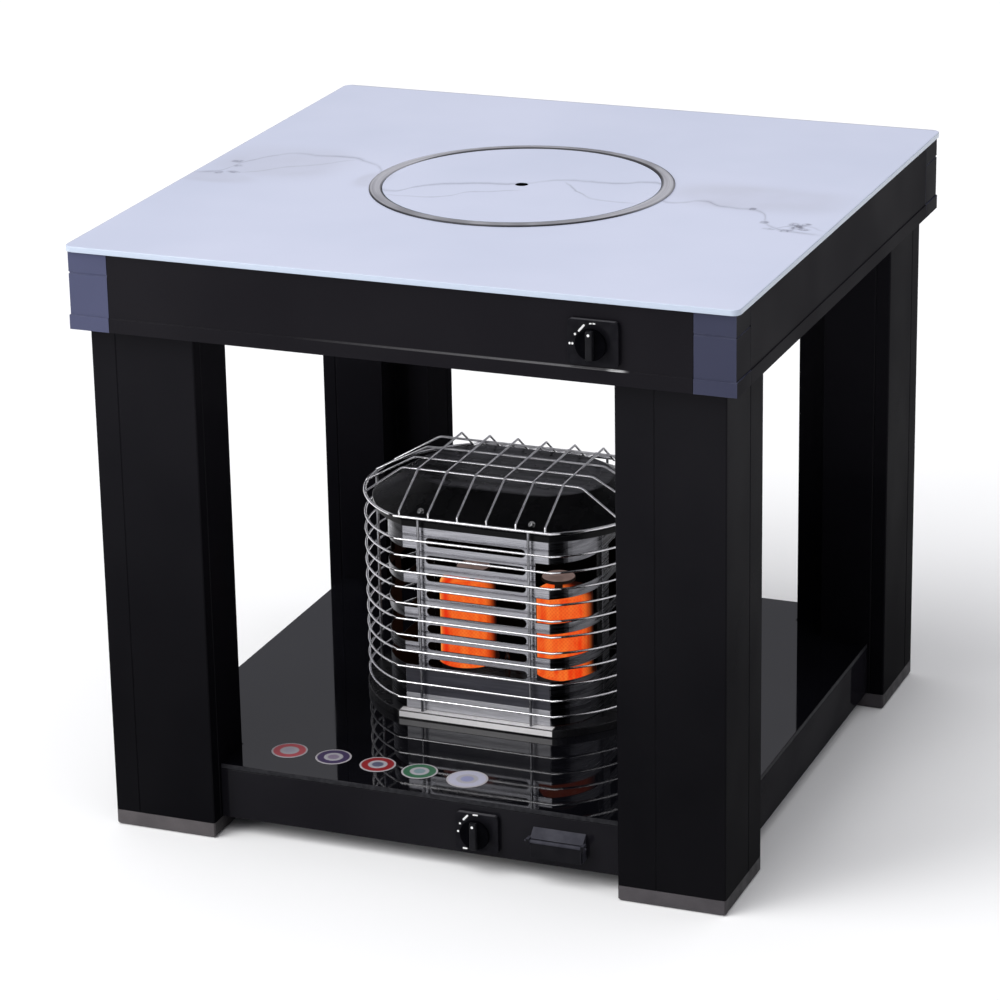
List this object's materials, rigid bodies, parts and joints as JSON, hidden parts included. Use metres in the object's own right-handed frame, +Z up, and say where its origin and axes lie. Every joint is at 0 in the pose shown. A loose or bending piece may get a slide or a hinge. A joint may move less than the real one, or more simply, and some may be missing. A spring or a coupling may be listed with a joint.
{
  "type": "gas heating table",
  "caption": "Square glass-topped dining table with a lidded hob in the middle, boxed apron, hollow legs, and a glass shelf that carries a caged gas heater.",
  "frame": {"origin": "on the floor under the middle of the square top", "axes": "+Z up, -Y towards the side with the knobs, +X to the right seen from that side"},
  "size_m": [0.8, 0.8332, 0.72],
  "materials": {
    "marble_glass": "gloss, printed with a pale veined stone pattern",
    "shelf_glass": "black mirror gloss",
    "steel": "satin to polished",
    "chrome": "bright plated wire",
    "lacquered_board": "black gloss lacquer",
    "black_gloss": "black gloss",
    "black_satin": "black satin",
    "blue_grey": "blue-grey satin",
    "foot_grey": "matt",
    "black_plastic": "satin",
    "cast_iron": "matt enamel",
    "brass": "plain",
    "stamped_steel": "plain pressed sheet",
    "heat_black": "heat-proof black",
    "cream_enamel": "cream gloss",
    "hot_ceramic": "matt, glowing orange in use",
    "white_ceramic": "glazed",
    "burnt_steel": "browned by heat",
    "cell_wrap": "plain wrap, no lettering"
  },
  "bodies": {
    "table": {"top_glass": "marble_glass", "lid_ring": "steel", "apron_front": "black_satin", "apron_right": "black_satin", "apron_back": "black_satin", "apron_left": "black_satin", "corner_cap_front_left": "blue_grey", "corner_cap_front_right": "blue_grey", "corner_cap_back_right": "blue_grey", "corner_cap_back_left": "blue_grey", "leg_front_left": "lacquered_board", "leg_front_right": "lacquered_board", "leg_back_right": "lacquered_board", "leg_back_left": "lacquered_board", "foot_front_left": "foot_grey", "foot_front_right": "foot_grey", "foot_back_right": "foot_grey", "foot_back_left": "foot_grey", "shelf_rail_front": "black_gloss", "shelf_rail_right": "black_gloss", "shelf_rail_back": "black_gloss", "shelf_rail_left": "black_gloss", "shelf_glass": "shelf_glass", "shelf_bearer_front": "black_satin", "shelf_bearer_back": "black_satin", "burner_pan": "steel", "hob_burner": "cast_iron", "hob_burner_cap": "brass", "pot_support": "cast_iron", "under_tray": "stamped_steel", "hob_bezel": "black_plastic", "hob_valve": "brass", "hob_inlet": "brass", "hob_pipe": "brass", "heater_bezel": "black_plastic", "heater_valve": "brass", "heater_inlet": "brass", "heater_pipe": "brass", "battery_box": "black_plastic", "battery": "cell_wrap", "spark_unit": "black_plastic", "heater_panel_front": "stamped_steel", "heater_panel_back": "stamped_steel", "heater_panel_left": "stamped_steel", "heater_panel_right": "stamped_steel", "heater_base": "cream_enamel", "heater_roof": "heat_black", "burner_manifold": "stamped_steel", "burner_column_left": "hot_ceramic", "burner_column_right": "hot_ceramic", "burner_cap_left": "burnt_steel", "burner_cap_right": "burnt_steel", "spark_electrode": "white_ceramic", "heater_guard": "chrome"},
    "lid": {"lid_glass": "marble_glass"},
    "hob_spindle": {"hob_spindle": "steel"},
    "hob_knob": {"hob_knob": "black_plastic"},
    "heater_spindle": {"heater_spindle": "steel"},
    "heater_knob": {"heater_knob": "black_plastic"},
    "battery_flap": {"battery_flap": "black_plastic"}
  },
  "joints": [
    {"name": "lid_lift", "type": "slide", "parent": "table", "child": "lid", "axis": [0, 0, 1], "range_m": [0, 0.12]},
    {"name": "hob_turn", "type": "hinge", "parent": "table", "child": "hob_spindle", "pos_m": [0.236, -0.3962, 0.6667], "axis": [0, -1, 0], "range_deg": [0, 95]},
    {"name": "hob_push", "type": "slide", "parent": "hob_spindle", "child": "hob_knob", "axis": [0, 1, 0], "range_m": [0, 0.004], "stiffness_N_per_m": 400, "springref_m": -0.004},
    {"name": "heater_turn", "type": "hinge", "parent": "table", "child": "heater_spindle", "pos_m": [0.0745, -0.359, 0.05], "axis": [0, -1, 0], "range_deg": [0, 148]},
    {"name": "heater_push", "type": "slide", "parent": "heater_spindle", "child": "heater_knob", "axis": [0, 1, 0], "range_m": [0, 0.004], "stiffness_N_per_m": 400, "springref_m": -0.004},
    {"name": "battery_flap_swing", "type": "hinge", "parent": "table", "child": "battery_flap", "pos_m": [0.1745, -0.3735, 0.0543], "axis": [-1, 0, 0], "range_deg": [0, 100]}
  ]
}
